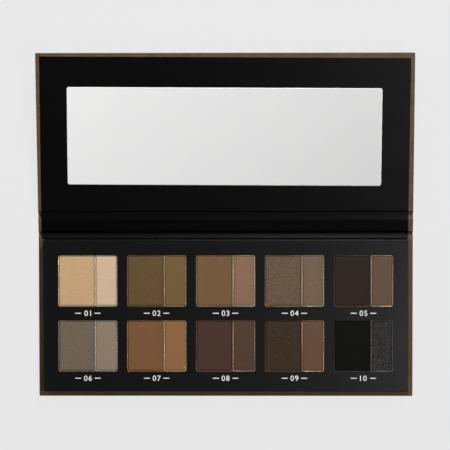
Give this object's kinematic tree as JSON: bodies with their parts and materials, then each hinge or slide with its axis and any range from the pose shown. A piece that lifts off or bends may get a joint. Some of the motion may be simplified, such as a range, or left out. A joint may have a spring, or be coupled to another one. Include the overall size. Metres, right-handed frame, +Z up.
{
  "type": "eyeshadow palette",
  "caption": "Book-style card eyeshadow palette with a mirrored folding lid, paper hinges and a tray of paired pressed-powder tins.",
  "frame": {"origin": "centre of the base panel's flat underside, which rests on the table", "axes": "+X to the right along the palette's width, +Y from the front edge to the hinge side, +Z up from the table"},
  "size_m": [0.22, 0.2017, 0.0213],
  "materials": {
    "wrap_paper": "brown uncoated wrapping paper",
    "liner_paper": "black matt-laminated lining paper",
    "tray_card": "black matt-laminated card",
    "greyboard": "grey board",
    "tin": "bright pressed tin",
    "magnet": "nickel-plated magnet",
    "steel_disc": "zinc-plated steel",
    "mirror_glass": "silvered glass",
    "adhesive": "adhesive film",
    "powder_wide_1": "pressed powder",
    "powder_wide_2": "pressed powder",
    "powder_wide_3": "pressed powder",
    "powder_wide_4": "pressed powder",
    "powder_wide_5": "pressed powder",
    "powder_wide_6": "pressed powder",
    "powder_wide_7": "pressed powder",
    "powder_wide_8": "pressed powder",
    "powder_wide_9": "pressed powder",
    "powder_wide_10": "pressed powder",
    "powder_narrow_1": "pressed powder",
    "powder_narrow_2": "pressed powder",
    "powder_narrow_3": "pressed powder",
    "powder_narrow_4": "pressed powder",
    "powder_narrow_5": "pressed powder",
    "powder_narrow_6": "pressed powder",
    "powder_narrow_7": "pressed powder",
    "powder_narrow_8": "pressed powder",
    "powder_narrow_9": "pressed powder",
    "powder_narrow_10": "pressed powder"
  },
  "bodies": {
    "base": {"base_board": "greyboard", "base_wrap": "wrap_paper", "tray_floor": "greyboard", "tray_grid": "greyboard", "tray_cover": "tray_card", "tray_magnet_left": "magnet", "tray_magnet_right": "magnet", "pan_wide_1": "tin", "pan_wide_2": "tin", "pan_wide_3": "tin", "pan_wide_4": "tin", "pan_wide_5": "tin", "pan_wide_6": "tin", "pan_wide_7": "tin", "pan_wide_8": "tin", "pan_wide_9": "tin", "pan_wide_10": "tin", "pan_narrow_1": "tin", "pan_narrow_2": "tin", "pan_narrow_3": "tin", "pan_narrow_4": "tin", "pan_narrow_5": "tin", "pan_narrow_6": "tin", "pan_narrow_7": "tin", "pan_narrow_8": "tin", "pan_narrow_9": "tin", "pan_narrow_10": "tin", "cake_wide_1": "powder_wide_1", "cake_wide_2": "powder_wide_2", "cake_wide_3": "powder_wide_3", "cake_wide_4": "powder_wide_4", "cake_wide_5": "powder_wide_5", "cake_wide_6": "powder_wide_6", "cake_wide_7": "powder_wide_7", "cake_wide_8": "powder_wide_8", "cake_wide_9": "powder_wide_9", "cake_wide_10": "powder_wide_10", "cake_narrow_1": "powder_narrow_1", "cake_narrow_2": "powder_narrow_2", "cake_narrow_3": "powder_narrow_3", "cake_narrow_4": "powder_narrow_4", "cake_narrow_5": "powder_narrow_5", "cake_narrow_6": "powder_narrow_6", "cake_narrow_7": "powder_narrow_7", "cake_narrow_8": "powder_narrow_8", "cake_narrow_9": "powder_narrow_9", "cake_narrow_10": "powder_narrow_10", "lower_crease": "wrap_paper"},
    "spine": {"spine_board": "greyboard", "spine_wrap": "wrap_paper", "spine_liner": "liner_paper", "upper_crease": "wrap_paper"},
    "lid": {"lid_board": "greyboard", "lid_frame": "greyboard", "lid_wrap": "wrap_paper", "lid_liner": "liner_paper", "mirror": "mirror_glass", "mirror_pad": "adhesive", "lid_disc_left": "steel_disc", "lid_disc_right": "steel_disc"}
  },
  "joints": [
    {"name": "spine_hinge", "type": "hinge", "parent": "base", "child": "spine", "pos_m": [0, 0.0481, 0.0001], "axis": [1, 0, 0], "range_deg": [-10, 75], "deforming": ["lower_crease"]},
    {"name": "lid_hinge", "type": "hinge", "parent": "spine", "child": "lid", "pos_m": [0, 0.05969, 0.00321], "axis": [1, 0, 0], "range_deg": [0, 95.5], "deforming": ["upper_crease"]}
  ]
}
